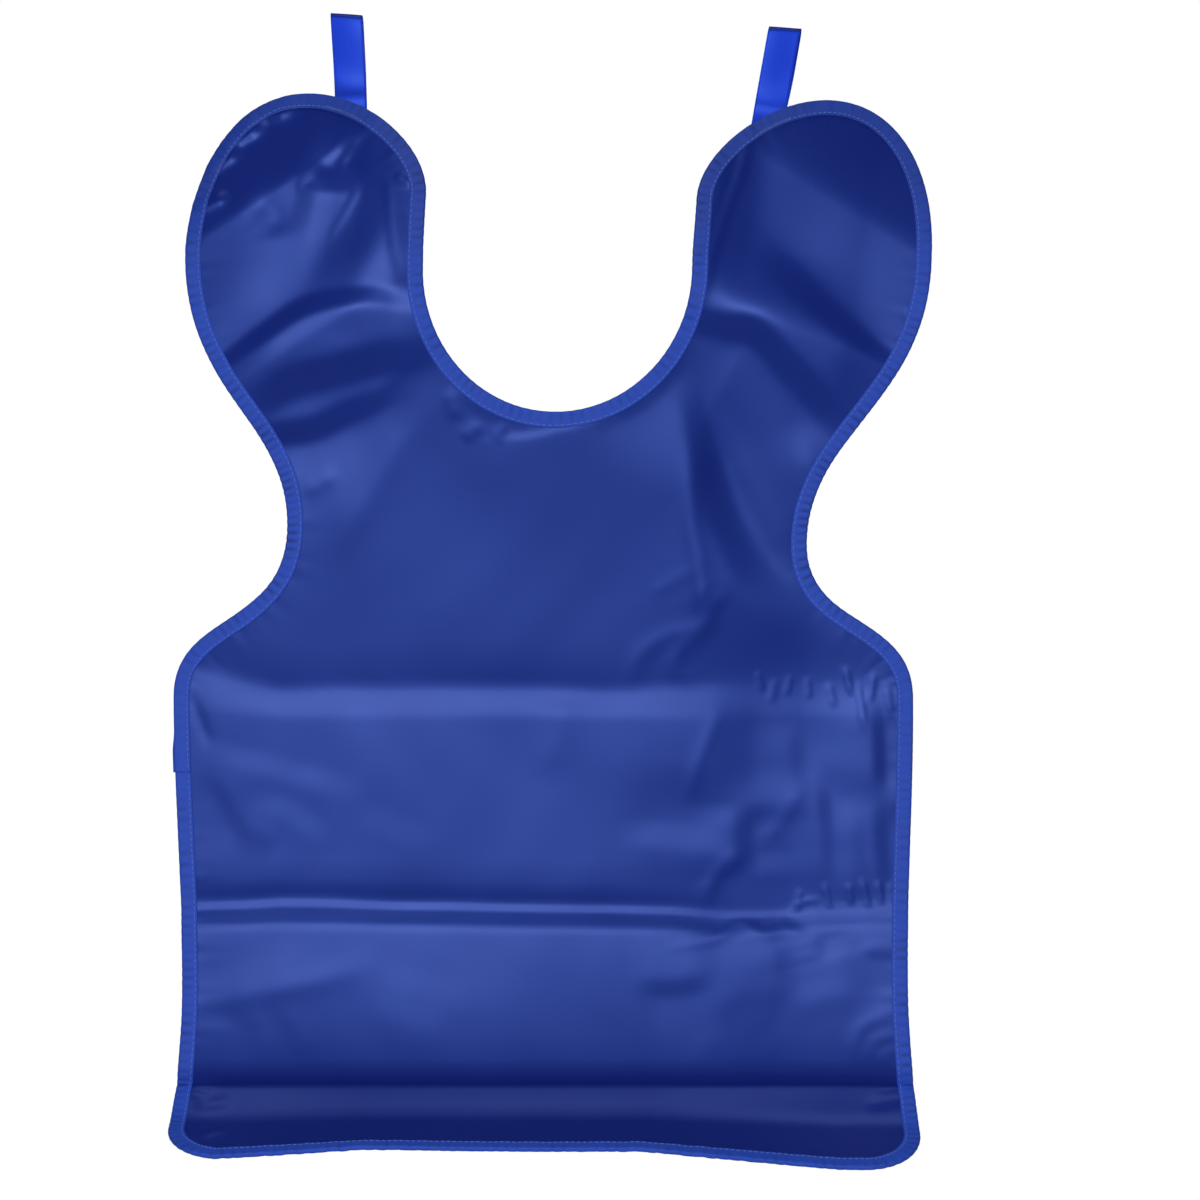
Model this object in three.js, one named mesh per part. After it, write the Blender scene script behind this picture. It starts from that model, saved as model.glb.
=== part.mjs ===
// Dental x-ray apron hung by its two ribbon loops: one sheet of lead-loaded vinyl with a tape folded
// over its whole edge. Millimetres, +Z up, the front faces -Y, and the origin is the middle of the
// hanging line between the loops.
import * as THREE from 'three';

// Driving sizes of the sheet, the tape and the ribbons.
const PANEL_THICKNESS = 2;
const TAPE_WIDTH = 20;
const TAPE_THICKNESS = 1;
const RIBBON_WIDTH = 20;
const RIBBON_THICKNESS = 1;
const LOOP_INNER_RADIUS = 3.6;
const LOOP_TAIL = 10;
const LOOP_COLLAR = 8;
const CLEARANCE = 0.3;

// Distances down the sheet from the hanging line, and the flat length of the flap below the last crease.
const NECK_DROP = 246;
const WING_TOP_DROP = 47;
const CREASE_DROPS = [411, 550, 666];
const FLAP_LENGTH = 73;
const HEM_RADIUS = 36;
const HEM_REACH = 231;
const WING_REACH = 231;
const FLAP_DROP = CREASE_DROPS[2];
const HEM_DROP = FLAP_DROP + FLAP_LENGTH;

// Facet sizes: along the edge, and across the middle of the sheet in each band of it from the top down. Rows
// are a share of a step apart, and stay a share of a step clear of the edge.
const EDGE_STEP = 13;
const ROW_SHARE = Math.sqrt(3) / 2;
const CLEAR_SHARE = 0.62;
const MESH_BANDS = [
  { top: WING_TOP_DROP, step: 10.5 },
  { top: 268, step: 15 },
  { top: CREASE_DROPS[0], step: 16 },
  { top: CREASE_DROPS[1], step: 16 },
  { top: FLAP_DROP - 12, step: 13 },
  { top: FLAP_DROP, step: 13 },
  { top: HEM_DROP, step: 13 },
];

// Handle lengths of the outline's curves, as shares of the step between two nodes.
const ROUND = 0.5523;
const STRAIGHT = 1 / 3;

// Right half of the cut: distance from the centre line, drop, heading of the edge, and the pull of the
// curve before and after the node. It runs from the neckline over the wing and down to the hem.
const HALF_OUTLINE = [
  { across: 0, drop: NECK_DROP, heading: 'out', before: 0, after: ROUND },
  { across: 84.5, drop: 157, heading: 'up', before: ROUND, after: STRAIGHT },
  { across: 85, drop: 112, heading: 'up', before: STRAIGHT, after: 0.47 },
  { across: 165, drop: WING_TOP_DROP, heading: 'out', before: 0.47, after: 0.6 },
  { across: WING_REACH, drop: 146, heading: 'down', before: 0.6, after: 0.49 },
  { across: 162.5, drop: 322, heading: 'down', before: 0.39, after: 0.59 },
  { across: 231.5, drop: 424, heading: 'down', before: 0.52, after: STRAIGHT },
  { across: 226, drop: 610, heading: 'down', before: STRAIGHT, after: STRAIGHT },
  { across: HEM_REACH, drop: HEM_DROP - HEM_RADIUS, heading: 'down', before: STRAIGHT, after: ROUND },
  { across: HEM_REACH - HEM_RADIUS, drop: HEM_DROP, heading: 'in', before: ROUND, after: STRAIGHT },
  { across: 0, drop: HEM_DROP, heading: 'in', before: STRAIGHT, after: 0 },
];
const HEADINGS = { out: [1, 0], in: [-1, 0], up: [0, -1], down: [0, 1] };

// Tilt of the sheet, in degrees, at each section down the middle. Positive comes forward going down.
const SECTIONS = [
  { drop: 0, tilt: -4.5 },
  { drop: 290, tilt: -5.3 },
  { drop: 330, tilt: -3.7 },
  { drop: 388, tilt: -2.7 },
  { drop: CREASE_DROPS[0] - 2, tilt: -5 },
  { drop: CREASE_DROPS[0] + 3, tilt: -1 },
  { drop: 419, tilt: 5 },
  { drop: 426, tilt: 7 },
  { drop: 438, tilt: 1.4 },
  { drop: 500, tilt: 2 },
  { drop: 526, tilt: 2.8 },
  { drop: CREASE_DROPS[1] - 3, tilt: -4 },
  { drop: 553, tilt: 9.7 },
  { drop: 558, tilt: 18.5 },
  { drop: 565, tilt: 18.5 },
  { drop: 572, tilt: 6.2 },
  { drop: 603, tilt: 5.6 },
  { drop: 635, tilt: 3.6 },
  { drop: FLAP_DROP - 15, tilt: 1.5 },
  { drop: FLAP_DROP - 6, tilt: -20 },
  { drop: FLAP_DROP, tilt: -26 },
];
const FORWARD_AT_WING_TOP = 31;

// Tilt of the curled flap, in degrees, across its width.
const FLAP_TILTS = [
  { across: -200, tilt: 62 },
  { across: -110, tilt: 67 },
  { across: 60, tilt: 66 },
  { across: 180, tilt: 57 },
];

// Bend of the flap away from that tilt, in degrees, along its flat length from the last crease.
const FLAP_BENDS = [
  { along: 0, bend: -15 },
  { along: 18, bend: -17 },
  { along: 26, bend: -10 },
  { along: 34, bend: 7 },
  { along: FLAP_LENGTH, bend: 10 },
];

// Sideways place of the sheet's centre line: the upper half leans to the right.
const CENTRE_LINE = [
  { drop: 50, shift: 2 },
  { drop: 145, shift: -4 },
  { drop: 255, shift: -5.5 },
  { drop: 365, shift: -14 },
  { drop: 620, shift: -12.3 },
];

// The right side of the upper half hangs lower than the left, by a share of the distance across.
const SINK = { share: 0.015, from: 50, to: 380 };

// Each wing folds backward beyond two slanting lines across it, and the right tip turns forward again beyond a
// third: the ends of the line as distance across and drop, the steepest tilt in degrees, and the distance over
// which the sheet turns.
const WING_ROLLS = [
  { side: -1, start: [-97, 164], end: [-206, 237], tilt: 9, turn: 7 },
  { side: -1, start: [-130, 77], end: [-229, 144], tilt: 21, turn: 7 },
  { side: 1, start: [85, 169], end: [203, 218], tilt: 9, turn: 8 },
  { side: 1, start: [128, 87], end: [219, 142], tilt: 12, turn: 14 },
  { side: 1, start: [190, 130], end: [182, 215], tilt: -4, turn: 12 },
];

// Folds along lines of points, each a distance across and a drop. A step lifts the sheet on the right of the
// line's run above the sheet on its left, and a ridge rises along the line.
const FOLDS = [
  { kind: 'step', line: [[-214, 219], [-159, 178], [-135, 174], [-80, 179]], width: 7, height: 2.6 },
  { kind: 'step', line: [[-198, 246], [-161, 223], [-135, 217], [-79, 207]], width: 12, height: -5.6 },
  { kind: 'step', line: [[-204, 272], [-162, 258], [-132, 247], [-108, 236]], width: 8, height: 5.4 },
  { kind: 'step', line: [[-114, 74], [-114, 113], [-120, 148]], width: 19, height: -5.7 },
  { kind: 'step', line: [[107, 65], [107, 112], [100, 175]], width: 18, height: 6 },
  { kind: 'step', line: [[132, 136], [178, 189], [208, 216]], width: 7, height: 2.8 },
  { kind: 'step', line: [[83, 185], [124, 194], [149, 217], [184, 257]], width: 9, height: -4.4 },
  { kind: 'step', line: [[89, 256], [109, 318], [146, 360]], width: 11, height: 4 },
  { kind: 'step', line: [[134, 266], [143, 306], [159, 344]], width: 13, height: -2.8 },
  { kind: 'step', line: [[116, 207], [120, 262]], width: 30, height: -3 },
  { kind: 'step', line: [[122, 426], [118, 483]], width: 14, height: 1 },
  { kind: 'ridge', line: [[129, 357], [186, 373]], width: 36, height: 1 },
  { kind: 'ridge', line: [[-82, 241], [-130, 331]], width: 13, height: 1.1 },
];

// How far a step is felt on each side of its line, in its half-widths and in millimetres more, how flat its
// slope is (the higher the power, the flatter), and the shares of a fold's length over which it fades: from
// beyond its end to inside it.
const STEP_REACH = 3.2;
const STEP_TAIL = 10;
const FACET_POWER = 4;
const END_FADE = { beyond: 0.2, inside: 0.3 };

// Each loop: where it leaves the edge, where its bight hangs, and its sideways lean in degrees.
const LOOPS = [
  { name: 'loop_left', across: -136.3, top: 4.2, lean: -3 },
  { name: 'loop_right', across: 126.7, top: -4.6, lean: 10 },
];

const vinyl = new THREE.MeshStandardMaterial({ color: 0x24388c, roughness: 0.42, metalness: 0 });
const tape = new THREE.MeshStandardMaterial({ color: 0x2850be, roughness: 0.75, metalness: 0 });
const satin = new THREE.MeshStandardMaterial({ color: 0x2646d2, roughness: 0.4, metalness: 0 });

const radians = THREE.MathUtils.degToRad;
const clamp01 = (value) => THREE.MathUtils.clamp(value, 0, 1);

// Value of a column at a place between the rows of a table, which are in rising order.
function lookUp(rows, key, column, place) {
  const next = rows.findIndex((row) => row[key] > place);
  if (next === 0) return rows[0][column];
  if (next < 0) return rows[rows.length - 1][column];
  const [a, b] = [rows[next - 1], rows[next]];
  return THREE.MathUtils.lerp(a[column], b[column], (place - a[key]) / (b[key] - a[key]));
}

// How far forward the middle of the sheet stands at each millimetre of drop, summed from its tilts.
const forwardProfile = [0];
for (let drop = 1; drop <= FLAP_DROP; drop += 1) {
  const slope = Math.tan(radians(lookUp(SECTIONS, 'drop', 'tilt', drop - 0.5)));
  forwardProfile.push(forwardProfile[drop - 1] + slope);
}

function profileForward(drop) {
  const below = Math.min(Math.floor(drop), FLAP_DROP - 1);
  const between = THREE.MathUtils.lerp(forwardProfile[below], forwardProfile[below + 1], drop - below);
  return between - forwardProfile[WING_TOP_DROP] + FORWARD_AT_WING_TOP;
}

// Where the bent flap runs, along and square to its mean tilt, at each millimetre of its length.
const flapRuns = [{ length: 0, along: 0, square: 0 }];
for (let length = 1; length <= FLAP_LENGTH + 1; length += 1) {
  const bend = radians(lookUp(FLAP_BENDS, 'along', 'bend', length - 0.5));
  const last = flapRuns[length - 1];
  flapRuns.push({ length, along: last.along + Math.cos(bend), square: last.square + Math.sin(bend) });
}

// Lift of one fold at a point. It fades over the end parts of the fold's line.
function foldLift({ kind, line, width, height }, across, drop) {
  const point = new THREE.Vector2(across, drop);
  const knots = line.map(([u, v]) => new THREE.Vector2(u, v));
  const chord = knots[knots.length - 1].clone().sub(knots[0]);
  const along = point.clone().sub(knots[0]).dot(chord) / chord.lengthSq();
  const fade = THREE.MathUtils.smoothstep(0.5 - Math.abs(along - 0.5), -END_FADE.beyond, END_FADE.inside);
  let [nearest, side] = [Infinity, 1];
  for (let i = 1; i < knots.length; i += 1) {
    const run = knots[i].clone().sub(knots[i - 1]);
    const reach = point.clone().sub(knots[i - 1]);
    const [first, last] = [i === 1 ? -Infinity : 0, i === knots.length - 1 ? Infinity : 1];
    const share = THREE.MathUtils.clamp(reach.dot(run) / run.lengthSq(), first, last);
    const away = reach.distanceTo(run.clone().multiplyScalar(share));
    if (away < nearest) [nearest, side] = [away, Math.sign(run.cross(reach))];
  }
  const spread = nearest / width;
  if (kind === 'ridge') return height * fade * Math.exp(-(spread ** 2));
  const rise = spread / (1 + spread ** FACET_POWER) ** (1 / FACET_POWER);
  return (height / 2) * side * fade * rise * Math.exp(-((nearest / (width * STEP_REACH + STEP_TAIL)) ** 2));
}

function rollBack(across, drop) {
  let back = 0;
  for (const { side, start, end, tilt, turn } of WING_ROLLS) {
    const [run, fall] = [end[0] - start[0], end[1] - start[1]];
    const beyond = (side * ((across - start[0]) * fall - (drop - start[1]) * run)) / Math.hypot(run, fall);
    if (beyond <= 0 || across * side <= 0) continue;
    back += Math.tan(radians(tilt)) * (beyond - turn * (1 - Math.exp(-beyond / turn)));
  }
  return back;
}

// Where a point of the cut sheet hangs: the middle of its thickness.
function hang(across, drop) {
  const upright = Math.min(drop, FLAP_DROP);
  const flap = drop - upright;
  const flapTilt = radians(lookUp(FLAP_TILTS, 'across', 'tilt', across));
  const slant = SINK.share * (1 - clamp01((drop - SINK.from) / (SINK.to - SINK.from)));
  const run = lookUp(flapRuns, 'length', 'along', flap);
  const rise = lookUp(flapRuns, 'length', 'square', flap);
  let forward = profileForward(upright) - rollBack(across, drop);
  forward += run * Math.sin(flapTilt) + rise * Math.cos(flapTilt);
  if (flap === 0) for (const fold of FOLDS) forward += foldLift(fold, across, drop);
  const x = across + lookUp(CENTRE_LINE, 'drop', 'shift', drop);
  const z = -upright - run * Math.cos(flapTilt) + rise * Math.sin(flapTilt) - slant * across;
  return new THREE.Vector3(x, -forward, z);
}

// Direction that the front of the sheet faces at a point of the cut.
function facing(across, drop) {
  const step = 1;
  const acrossEdge = hang(across + step, drop).sub(hang(across - step, drop));
  const downEdge = hang(across, drop + step).sub(hang(across, drop - step));
  return downEdge.cross(acrossEdge).normalize();
}

// Points of the cut's whole edge, evenly spaced: down the right half from the neck, and back up the left.
function edgePoints() {
  const path = new THREE.CurvePath();
  for (let i = 1; i < HALF_OUTLINE.length; i += 1) {
    const [a, b] = [HALF_OUTLINE[i - 1], HALF_OUTLINE[i]];
    const handle = (node, pull) => {
      const [du, dv] = HEADINGS[node.heading];
      const reach = pull * Math.abs((b.across - a.across) * du + (b.drop - a.drop) * dv);
      return new THREE.Vector2(node.across + du * reach, node.drop + dv * reach);
    };
    const start = new THREE.Vector2(a.across, a.drop);
    const end = new THREE.Vector2(b.across, b.drop);
    path.add(new THREE.CubicBezierCurve(start, handle(a, a.after), handle(b, -b.before), end));
  }
  const right = path.getSpacedPoints(Math.round(path.getLength() / EDGE_STEP));
  const left = right.slice(1, -1).reverse().map((point) => new THREE.Vector2(-point.x, point.y));
  return [...right, ...left];
}

// Direction into the sheet at each point of its edge.
function inwardDirections(edge) {
  return edge.map((point, i) => {
    const before = edge[(i + edge.length - 1) % edge.length];
    const after = edge[(i + 1) % edge.length];
    const along = after.clone().sub(before).normalize();
    return new THREE.Vector2(-along.y, along.x);
  });
}

// The edge moved into the sheet by a distance measured along its surface.
function insetRing(edge, inward, distance) {
  return edge.map((point, i) => {
    const step = point.clone().add(inward[i]);
    const stretch = hang(step.x, step.y).distanceTo(hang(point.x, point.y));
    return point.clone().addScaledVector(inward[i], distance / stretch);
  });
}

function distanceToRing(point, ring) {
  let nearest = Infinity;
  for (let i = 0; i < ring.length; i += 1) {
    const [a, b] = [ring[i], ring[(i + 1) % ring.length]];
    const run = b.clone().sub(a);
    const share = clamp01(point.clone().sub(a).dot(run) / run.lengthSq());
    nearest = Math.min(nearest, point.distanceTo(a.clone().addScaledVector(run, share)));
  }
  return nearest;
}

function insideRing(point, ring) {
  let inside = false;
  for (let i = 0; i < ring.length; i += 1) {
    const [a, b] = [ring[i], ring[(i + 1) % ring.length]];
    const spans = a.y > point.y !== b.y > point.y;
    if (spans && point.x < a.x + ((point.y - a.y) * (b.x - a.x)) / (b.y - a.y)) inside = !inside;
  }
  return inside;
}

// Staggered rows of points within a ring, with a row along the top of each band.
function fillPoints(ring) {
  const points = [];
  let row = 0;
  for (let i = 1; i < MESH_BANDS.length; i += 1) {
    const { top, step } = MESH_BANDS[i - 1];
    const bottom = MESH_BANDS[i].top;
    const rows = Math.round((bottom - top) / (step * ROW_SHARE));
    for (let j = 0; j < rows; j += 1) {
      const drop = THREE.MathUtils.lerp(top, bottom, j / rows);
      const reach = WING_REACH + (row % 2 ? step / 2 : 0);
      for (let across = -reach; across <= reach; across += step) {
        const point = new THREE.Vector2(across, drop);
        if (insideRing(point, ring) && distanceToRing(point, ring) > CLEAR_SHARE * step) points.push(point);
      }
      row += 1;
    }
  }
  return points;
}

// Delaunay triangles of a set of points, added one at a time.
function triangulate(points) {
  const far = 1e4;
  const corners = [new THREE.Vector2(-far, -far), new THREE.Vector2(far, -far), new THREE.Vector2(0, far)];
  const all = [...points, ...corners];
  const circle = (a, b, c) => {
    const [p, q, r] = [all[a], all[b], all[c]];
    const twice = 2 * ((q.x - p.x) * (r.y - p.y) - (q.y - p.y) * (r.x - p.x));
    const [qq, rr] = [q.distanceToSquared(p), r.distanceToSquared(p)];
    const x = p.x + ((r.y - p.y) * qq - (q.y - p.y) * rr) / twice;
    const y = p.y + ((q.x - p.x) * rr - (r.x - p.x) * qq) / twice;
    return { corners: [a, b, c], x, y, square: (p.x - x) ** 2 + (p.y - y) ** 2 };
  };
  let triangles = [circle(points.length, points.length + 1, points.length + 2)];
  points.forEach((point, added) => {
    const rim = new Map();
    const kept = [];
    for (const triangle of triangles) {
      if ((point.x - triangle.x) ** 2 + (point.y - triangle.y) ** 2 >= triangle.square) {
        kept.push(triangle);
        continue;
      }
      triangle.corners.forEach((a, i) => {
        const b = triangle.corners[(i + 1) % 3];
        if (!rim.delete(`${b} ${a}`)) rim.set(`${a} ${b}`, [a, b]);
      });
    }
    triangles = kept;
    for (const [a, b] of rim.values()) triangles.push(circle(a, b, added));
  });
  return triangles.map((triangle) => triangle.corners).filter((corner) => Math.max(...corner) < points.length);
}

function meshOf(name, positions, triangles, material) {
  const geometry = new THREE.BufferGeometry();
  geometry.setAttribute('position', new THREE.Float32BufferAttribute(positions.flatMap((p) => p.toArray()), 3));
  geometry.setIndex(triangles.flat());
  geometry.computeVertexNormals();
  const mesh = new THREE.Mesh(geometry, material);
  mesh.name = name;
  return mesh;
}

// The sheet: front and back faces over the same points, joined round the edge. The strip under the tape
// is split as the tape is, so the two stay parallel.
function apronPanel(edge, inset) {
  const count = edge.length;
  const fill = fillPoints(inset);
  const points = [...edge, ...inset, ...fill];
  const faces = [];
  for (let i = 0; i < count; i += 1) {
    const next = (i + 1) % count;
    faces.push([i, next, count + i], [next, count + next, count + i]);
  }
  for (const [a, b, c] of triangulate([...inset, ...fill])) {
    const centre = [a, b, c].reduce((sum, k) => sum.add(points[count + k]), new THREE.Vector2()).divideScalar(3);
    if (insideRing(centre, inset)) faces.push([count + a, count + b, count + c]);
  }
  const turn = ([a, b, c]) => {
    const area = points[b].clone().sub(points[a]).cross(points[c].clone().sub(points[a]));
    return area < 0 ? [a, b, c] : [a, c, b];
  };
  const front = faces.map(turn);
  const back = front.map(([a, b, c]) => [a + points.length, c + points.length, b + points.length]);
  const rim = [];
  for (let i = 0; i < count; i += 1) {
    const next = (i + 1) % count;
    rim.push([i, next, i + points.length], [next, next + points.length, i + points.length]);
  }
  const layer = (offset) => points.map((p) => hang(p.x, p.y).addScaledVector(facing(p.x, p.y), offset));
  const positions = [...layer(PANEL_THICKNESS / 2), ...layer(-PANEL_THICKNESS / 2)];
  return meshOf('apron_panel', positions, [...front, ...back, ...rim], vinyl);
}

// The folded tape: a U section carried round the edge, its legs lying on both faces of the sheet.
const TAPE_INNER = PANEL_THICKNESS / 2 + CLEARANCE;
const TAPE_OUTER = TAPE_INNER + TAPE_THICKNESS;

function edgeBinding(edge, inset) {
  const positions = [];
  const triangles = [];
  const corners = 8;
  edge.forEach((point, i) => {
    const rim = hang(point.x, point.y);
    const inner = hang(inset[i].x, inset[i].y);
    const rimFacing = facing(point.x, point.y);
    const innerFacing = facing(inset[i].x, inset[i].y);
    const outward = rim.clone().sub(inner).projectOnPlane(rimFacing).normalize();
    const atRim = (out, up) => rim.clone().addScaledVector(outward, out).addScaledVector(rimFacing, up);
    const atInner = (up) => inner.clone().addScaledVector(innerFacing, up);
    positions.push(
      atInner(TAPE_OUTER),
      atRim(CLEARANCE + TAPE_THICKNESS, TAPE_OUTER),
      atRim(CLEARANCE + TAPE_THICKNESS, -TAPE_OUTER),
      atInner(-TAPE_OUTER),
      atInner(-TAPE_INNER),
      atRim(CLEARANCE, -TAPE_INNER),
      atRim(CLEARANCE, TAPE_INNER),
      atInner(TAPE_INNER),
    );
    const next = ((i + 1) % edge.length) * corners;
    for (let k = 0; k < corners; k += 1) {
      const m = (k + 1) % corners;
      const [a, b, c, d] = [i * corners + k, i * corners + m, next + k, next + m];
      if (k < corners / 2 + 1) triangles.push([a, c, d], [a, d, b]);
      else triangles.push([a, c, b], [b, c, d]);
    }
  });
  return meshOf('edge_binding', positions, triangles, tape);
}

// One ribbon loop: both tails lie flat behind the tape, and the ribbon opens into a bight above. The tape is
// felt at places across the ribbon, in half-widths, and down its tail, in tail lengths.
const FELT_ACROSS = [-1.3, -0.65, 0, 0.65, 1.3];
const FELT_DOWN = [-0.4, 0, 0.5, 1];
const BIGHT_BENDS = 8;

function ribbonLoop({ name, across, top, lean }, edge) {
  const wingEdge = edge.filter((p) => p.x * across > 0 && p.y < HALF_OUTLINE[2].drop);
  const leaving = wingEdge.reduce((best, p) => (Math.abs(p.x - across) < Math.abs(best.x - across) ? p : best));
  const rim = hang(across, leaving.y);
  const down = hang(across, leaving.y + LOOP_TAIL).sub(rim).setX(0).normalize();
  const tail = new THREE.Vector2(down.y, down.z);
  const behind = new THREE.Vector2(-tail.y, tail.x);
  let seat = 0;
  for (const aside of FELT_ACROSS) {
    for (const share of FELT_DOWN) {
      const [u, drop] = [across + (aside * RIBBON_WIDTH) / 2, leaving.y + share * LOOP_TAIL];
      const back = hang(u, drop).addScaledVector(facing(u, drop), -TAPE_OUTER).sub(rim);
      seat = Math.max(seat, back.y * behind.x + back.z * behind.y);
    }
  }
  const firstLayer = seat + CLEARANCE + RIBBON_THICKNESS / 2;
  const secondLayer = firstLayer + RIBBON_THICKNESS + CLEARANCE;
  const radius = LOOP_INNER_RADIUS + RIBBON_THICKNESS / 2;
  const rise = (top - rim.z) / Math.cos(radians(lean)) - radius - RIBBON_THICKNESS / 2;
  const place = (layer, along) => behind.clone().multiplyScalar(layer).addScaledVector(tail, along);
  const collar = place((firstLayer + secondLayer) / 2, -LOOP_COLLAR);

  const bight = [];
  for (let k = 0; k <= BIGHT_BENDS; k += 1) {
    const angle = Math.PI * (1 - k / BIGHT_BENDS);
    bight.push(new THREE.Vector2(collar.x + radius * Math.cos(angle), rise + radius * Math.sin(angle)));
  }
  const route = [
    place(firstLayer, LOOP_TAIL),
    place(firstLayer, -LOOP_COLLAR),
    ...bight,
    place(secondLayer, -LOOP_COLLAR),
    place(secondLayer, LOOP_TAIL),
  ];
  const side = (offset) => route.map((point, i) => {
    const along = route[Math.min(i + 1, route.length - 1)].clone().sub(route[Math.max(i - 1, 0)]).normalize();
    return new THREE.Vector2(point.x - along.y * offset, point.y + along.x * offset);
  });
  const outline = [...side(RIBBON_THICKNESS / 2), ...side(-RIBBON_THICKNESS / 2).reverse()];
  const geometry = new THREE.ExtrudeGeometry(new THREE.Shape(outline), { depth: RIBBON_WIDTH, bevelEnabled: false });
  geometry.translate(0, 0, -RIBBON_WIDTH / 2);
  const [toY, toZ, toX] = [new THREE.Vector3(0, 1, 0), new THREE.Vector3(0, 0, 1), new THREE.Vector3(1, 0, 0)];
  geometry.applyMatrix4(new THREE.Matrix4().makeBasis(toY, toZ, toX));
  const mesh = new THREE.Mesh(geometry, satin);
  mesh.name = name;
  mesh.position.copy(rim);
  mesh.rotation.y = radians(lean);
  return mesh;
}

const edge = edgePoints();
const inset = insetRing(edge, inwardDirections(edge), TAPE_WIDTH / 2 - CLEARANCE - TAPE_THICKNESS);
const apron = new THREE.Group();
apron.add(apronPanel(edge, inset), edgeBinding(edge, inset));
for (const loop of LOOPS) apron.add(ribbonLoop(loop, edge));

export default apron;
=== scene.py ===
import math

import bpy
import numpy as np
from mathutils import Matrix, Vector
from mathutils.geometry import delaunay_2d_cdt


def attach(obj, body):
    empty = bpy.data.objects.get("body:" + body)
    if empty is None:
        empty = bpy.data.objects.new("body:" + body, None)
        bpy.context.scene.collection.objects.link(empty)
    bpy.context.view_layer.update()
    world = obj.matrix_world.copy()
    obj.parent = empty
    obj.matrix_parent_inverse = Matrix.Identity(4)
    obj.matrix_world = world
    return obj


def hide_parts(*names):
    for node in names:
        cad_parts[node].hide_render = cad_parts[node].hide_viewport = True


# The dental x-ray apron as it hangs: the sheet, its folded tape, the ribbon loops and the stitches.
# Sizes are in millimetres up to the meshes, which are in metres. The front faces -Y and +Z is up.
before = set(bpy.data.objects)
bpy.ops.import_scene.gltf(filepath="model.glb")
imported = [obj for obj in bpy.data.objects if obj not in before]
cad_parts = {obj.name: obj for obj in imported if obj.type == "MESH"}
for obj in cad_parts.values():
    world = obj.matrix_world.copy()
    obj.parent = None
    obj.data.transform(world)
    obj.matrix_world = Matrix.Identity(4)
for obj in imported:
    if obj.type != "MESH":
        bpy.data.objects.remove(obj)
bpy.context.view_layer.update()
MM = 0.001


def table(names, *rows):
    return [dict(zip(names.split(), row)) for row in rows]


def fold(width, height, *line, **tail):
    return dict(line=line, width=width, height=height, **tail)


# Driving sizes of the sheet, the tape, the ribbons and the thread.
PANEL_THICKNESS = 1.6
TAPE_THICKNESS = 0.6
TAPE_GAP = 0.15
RIBBON_WIDTH = 20
RIBBON_THICKNESS = 0.55
STITCH_PITCH = 3.6
STITCH_LENGTH = 2.5
STITCH_INSET = 7.7
THREAD_RADIUS = 0.26
PUCKER_PITCH = 7.3
PUCKER_CROWDING = 2.8
GROOVE_SHARE = 0.5
TAPE_LAP = 12
LOOP_INNER_RADIUS = 3.4
LOOP_TAIL = 8
LOOP_COLLAR = 8

# Distances down the sheet from the hanging line, and the flat length of the flap below the last crease.
NECK_DROP = 246
WING_TOP_DROP = 47
CREASE_DROPS = (411, 550, 666)
FLAP_LENGTH = 74.5
HEM_RADIUS = 36
HEM_REACH = 231
WING_REACH = 233
FLAP_DROP = CREASE_DROPS[2]
HEM_DROP = FLAP_DROP + FLAP_LENGTH

# Mesh sizes: along the edge and the tape, across the front and the back, and along the last crease. Edges
# turned by more than the sharp angle, in degrees, are not smoothed. The clearances are shares of a step.
EDGE_STEP = 1.7
TAPE_STEP = 1
FRONT_STEP = 2.3
KEEN_STEP = 1.25
BACK_STEP = 6
CREASE_STEP = 2
SHARP_ANGLE = 50
CREASE_CLEARANCE = 0.6
EDGE_CLEARANCE = 0.8
MERGE_DISTANCE = 1e-6
FACING_STEP = 0.6
CURVE_POINTS = 200
LINE_POINTS = 5
BLOCK_SIZE = 2000

# Parts of the front with keen folds, which have the finer mesh, as boxes in the photograph's pixels.
KEEN_ZONES = table(
    "left top right bottom",
    (196, 98, 300, 216),
    (300, 112, 412, 246),
    (622, 584, 730, 686),
    (742, 662, 900, 724),
    (192, 876, 900, 926),
)

# The camera: its distance from the plane where the photograph's scale holds, its sensor, and the scale and
# origin in the photograph's pixels.
PHOTO_PLANE = -16
CAMERA_DISTANCE = 2200
SENSOR_WIDTH = 36
PHOTO_SIZE = 1200
MM_PER_PIXEL = 0.625
ORIGIN_PIXEL = (564.5, 19)
CAMERA_X = (PHOTO_SIZE / 2 - ORIGIN_PIXEL[0]) * MM_PER_PIXEL
CAMERA_Z = (ORIGIN_PIXEL[1] - PHOTO_SIZE / 2) * MM_PER_PIXEL

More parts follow.
